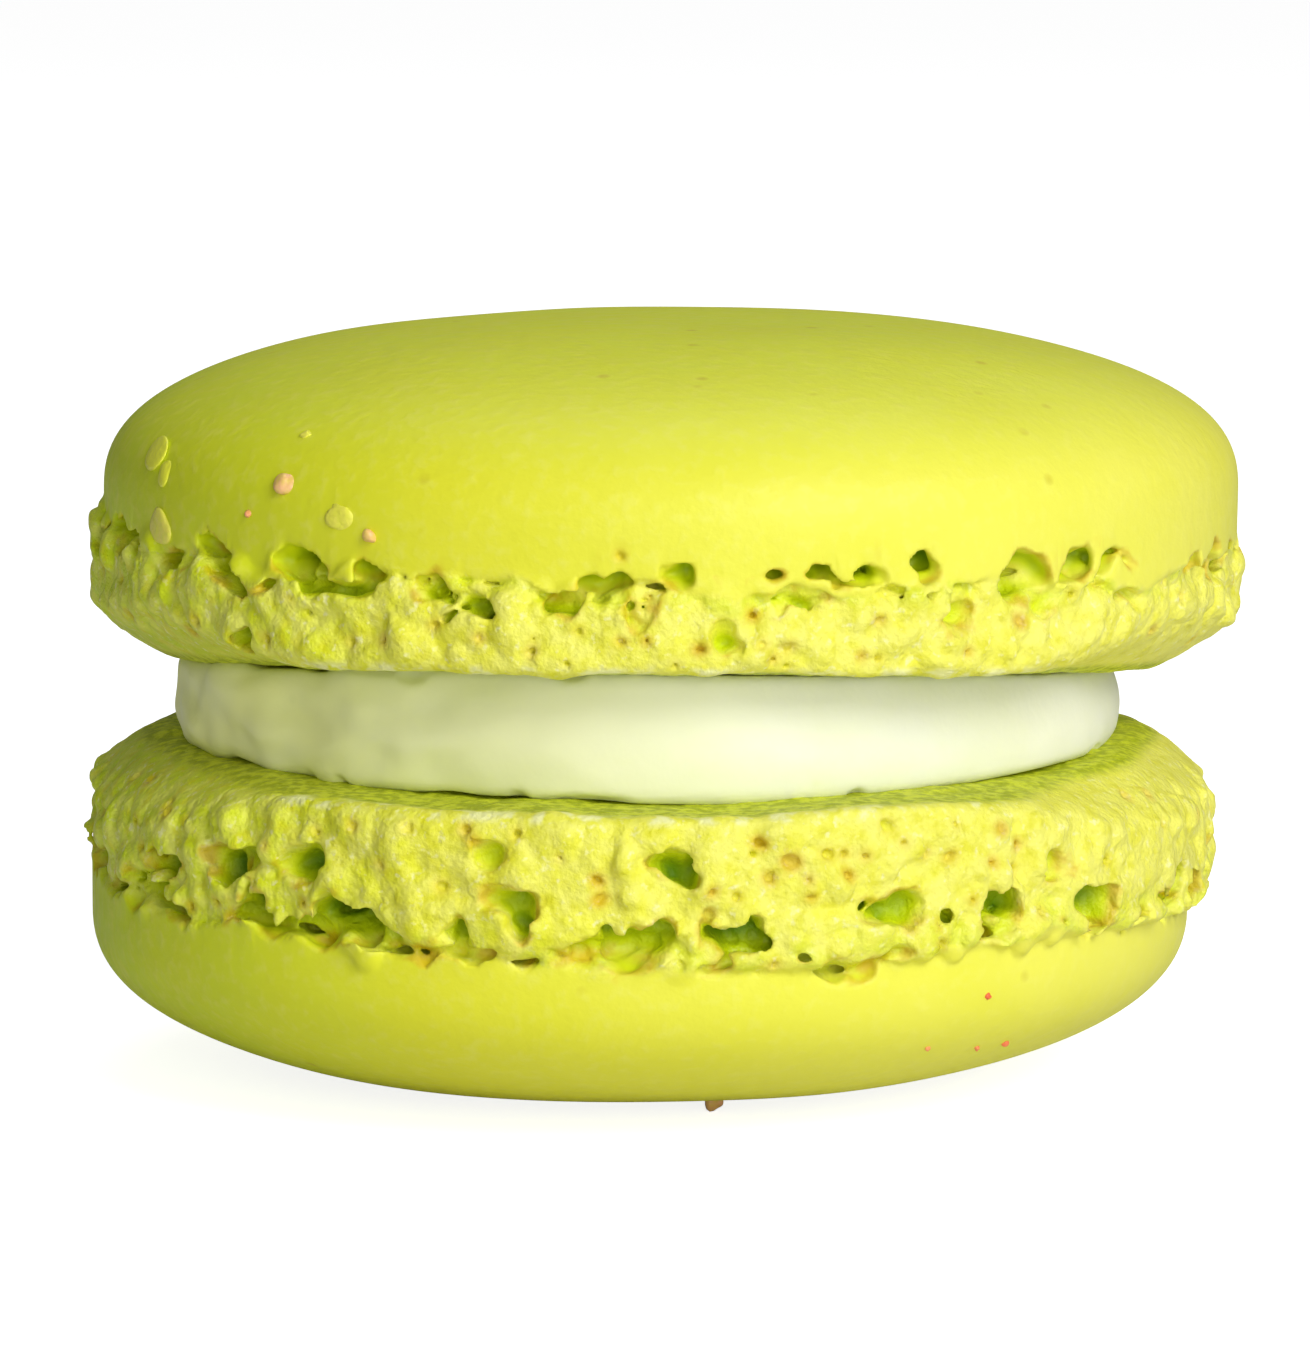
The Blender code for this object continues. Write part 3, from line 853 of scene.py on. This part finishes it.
def crust_material():
    """Baked almond batter: a satin skin on the dome, and a crumbly foot that shines where it tore."""
    n = Nodes("almond_crust")
    # This tint holds painted shade and painted light, which the skin's and the crumb's colours are laid
    # over.
    tint = crust_tint_with_painted_shade_and_light(n)
    wet = n.math("MULTIPLY", n.attribute("torn"), n.ramp(n.noise(1.2, 3.0), 0.42, 0.58))
    colour = n.mix(n.attribute("crumb"), skin_colour(n, tint), crumb_colour(n, tint))
    colour = recess_colour_and_painted_shade(n, colour, wet)
    colour = base_colour(n, colour)
    colour = singed_colour(n, colour)
    n.wire(n.shader.inputs["Base Color"], colour)

    roughness = n.ramp(n.noise(0.8), 0.3, 0.7, 0.42, 0.56)
    roughness = n.math("ADD", roughness, n.ramp(n.attribute("crumb"), 0.0, 1.0, 0.0, 0.08))
    roughness = n.math("SUBTRACT", roughness, n.ramp(wet, 0.0, 1.0, 0.0, 0.26))
    n.wire(n.shader.inputs["Roughness"], roughness)
    normal = n.bump(n.noise(0.5, 4.0), 0.035)
    fine = n.math("MULTIPLY", n.noise(0.25, 3.0), n.attribute("crumb"))
    n.wire(n.shader.inputs["Normal"], n.bump(fine, 0.09, normal=normal))
    n.scatter(weight=0.1, radius=(1.0, 1.0, 0.25), scale=1.0, specular=0.35)
    return n.material


def cream_material():
    """Whipped cream, nearly white at the right, with painted green light from the crust at the left."""
    n = Nodes("piped_cream")
    place = n.add("ShaderNodeSeparateXYZ")
    n.wire(place.inputs[0], n.position)
    # Painted bounce light: yellow-green at the left, fading to nearly white at the right.
    painted_bounce_share = n.ramp(place.outputs["X"], -17.0 * MM, 6.0 * MM)
    colour = n.mix(painted_bounce_share, srgb(250, 253, 158), srgb(250, 251, 230))
    colour = n.mix(n.ramp(n.noise(3.5, 3.0), 0.35, 0.65, 0.0, 0.35), colour, srgb(243, 247, 200))
    specks = n.math("MULTIPLY", n.spots(2.2, 0.28), n.ramp(n.noise(4.0), 0.5, 0.6, 0.0, 0.4))
    colour = n.mix(specks, colour, srgb(228, 232, 160))
    n.wire(n.shader.inputs["Base Color"], colour)
    n.wire(n.shader.inputs["Roughness"], n.ramp(n.noise(1.5), 0.3, 0.7, 0.38, 0.5))
    n.wire(n.shader.inputs["Normal"], n.bump(n.noise(0.9, 3.0), 0.03))
    n.scatter(weight=0.15, radius=(1.0, 1.0, 0.7), scale=2.0, specular=0.4)
    return n.material


def grain_material():
    """Sugar grains, from pale to red by each grain's tint."""
    n = Nodes("sugar_grains")
    pale = n.mix(n.ramp(n.noise(0.3), 0.35, 0.65), srgb(236, 226, 104), srgb(250, 214, 150))
    colour = n.mix(n.ramp(n.attribute("tint"), 0.0, 0.5), srgb(236, 238, 60), pale)
    colour = n.mix(n.ramp(n.attribute("tint"), 0.5, 1.0), colour, srgb(238, 84, 52))
    n.wire(n.shader.inputs["Base Color"], colour)
    n.wire(n.shader.inputs["Roughness"], n.ramp(n.noise(0.4), 0.3, 0.7, 0.3, 0.5))
    n.wire(n.shader.inputs["Normal"], n.bump(n.noise(0.2), 0.04))
    return n.material


def floor_material():
    """A pale floor. Its glow shows to the camera alone, so it looks nearly white and lights nothing."""
    n = Nodes("pale_floor")
    n.shader.inputs["Base Color"].default_value = (0.85, 0.85, 0.85, 1.0)
    n.shader.inputs["Roughness"].default_value = 0.9
    n.shader.inputs["Specular IOR Level"].default_value = 0.1
    seen = n.add("ShaderNodeLightPath").outputs["Is Camera Ray"]
    n.shader.inputs["Emission Color"].default_value = (1.0, 1.0, 1.0, 1.0)
    n.wire(n.shader.inputs["Emission Strength"], n.ramp(seen, 0.0, 1.0, 0.0, FLOOR_GLOW))
    return n.material


# --- Stage

FLOOR_SIDE = 6.0  # metres
# Softboxes: (name, degrees round from the front, elevation, metres away, metres wide, watts).
LIGHTS = [
    ("key", 33, 34, 0.6, 0.26, 2.05),
    ("low_fill", 14, 5, 0.6, 0.3, 1.6),
    ("back_fill", 180, 66, 0.7, 0.4, 0.7),
]
WORLD_LIGHT = 0.16
WORLD_SEEN = 1.0
CAMERA_ELEVATION = 7.0  # degrees
CAMERA_DISTANCE = 0.264  # metres
CAMERA_LENS = 183.0
CAMERA_AIM = (-0.22, 0.0, 0.585)  # from the middle of the CAD's box


def make_stage():
    """A wide floor."""
    side = FLOOR_SIDE / 2
    points = [(-side, -side, 0.0), (side, -side, 0.0), (side, side, 0.0), (-side, side, 0.0)]
    floor = new_object("floor", np.array(points), np.array([(0, 1, 2, 3)]))
    floor.data.materials.append(floor_material())


def make_light(name, azimuth, elevation, distance, size, watts):
    """A square softbox that faces the object. Azimuth 0 is in front and 90 is at the right."""
    a, e = math.radians(azimuth), math.radians(elevation)
    way = Vector((math.sin(a) * math.cos(e), -math.cos(a) * math.cos(e), math.sin(e)))
    data = bpy.data.lights.new(name, "AREA")
    data.shape = "SQUARE"
    data.size = size
    data.energy = watts
    light = bpy.data.objects.new(name, data)
    bpy.context.scene.collection.objects.link(light)
    light.location = way * distance
    light.rotation_euler = (-way).to_track_quat("-Z", "Y").to_euler()


def make_world():
    """White light from all round. The camera sees it at a strength of its own."""
    world = bpy.data.worlds.new("studio")
    bpy.context.scene.world = world
    world.use_nodes = True
    nodes, links = world.node_tree.nodes, world.node_tree.links
    background = nodes["Background"]
    background.inputs["Color"].default_value = (1, 1, 1, 1)
    path = nodes.new("ShaderNodeLightPath")
    ramp = nodes.new("ShaderNodeMapRange")
    ramp.inputs["To Min"].default_value = WORLD_LIGHT
    ramp.inputs["To Max"].default_value = WORLD_SEEN
    links.new(path.outputs["Is Camera Ray"], ramp.inputs["Value"])
    links.new(ramp.outputs["Result"], background.inputs["Strength"])


def make_camera():
    """The photograph's view: from the front, a little above the level, with a long lens."""
    aim = (cad_box[0] + cad_box[1]) / 2 + Vector(CAMERA_AIM) * MM
    elevation = math.radians(CAMERA_ELEVATION)
    back = Vector((0.0, -math.cos(elevation), math.sin(elevation)))
    data = bpy.data.cameras.new("camera")
    data.sensor_width = 36.0
    data.lens = CAMERA_LENS
    data.clip_start, data.clip_end = 0.01, 20.0
    camera = bpy.data.objects.new("camera", data)
    bpy.context.scene.collection.objects.link(camera)
    camera.location = aim + back * CAMERA_DISTANCE
    camera.rotation_euler = (-back).to_track_quat("-Z", "Y").to_euler()
    bpy.context.scene.camera = camera


def main():
    """Makes the pieces, then the stage round them."""
    make_camera()
    crust, cream = crust_material(), cream_material()
    shapes = {name: ShellShape(name, sizes) for name, sizes in SHELLS.items()}
    for name, shape in shapes.items():
        piece = make_shell(shape)
        piece.data.materials.append(crust)
        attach(piece, "root")
        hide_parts(name)
    filling = make_filling(shapes["shell_upper"], shapes["shell_lower"])
    filling.data.materials.append(cream)
    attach(filling, "root")
    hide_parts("filling")

    grains = make_grains(shapes)
    grains.data.materials.append(grain_material())
    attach(grains, "root")

    make_stage()
    for light in LIGHTS:
        make_light(*light)
    make_world()
    bpy.context.scene.view_settings.view_transform = "Standard"


main()
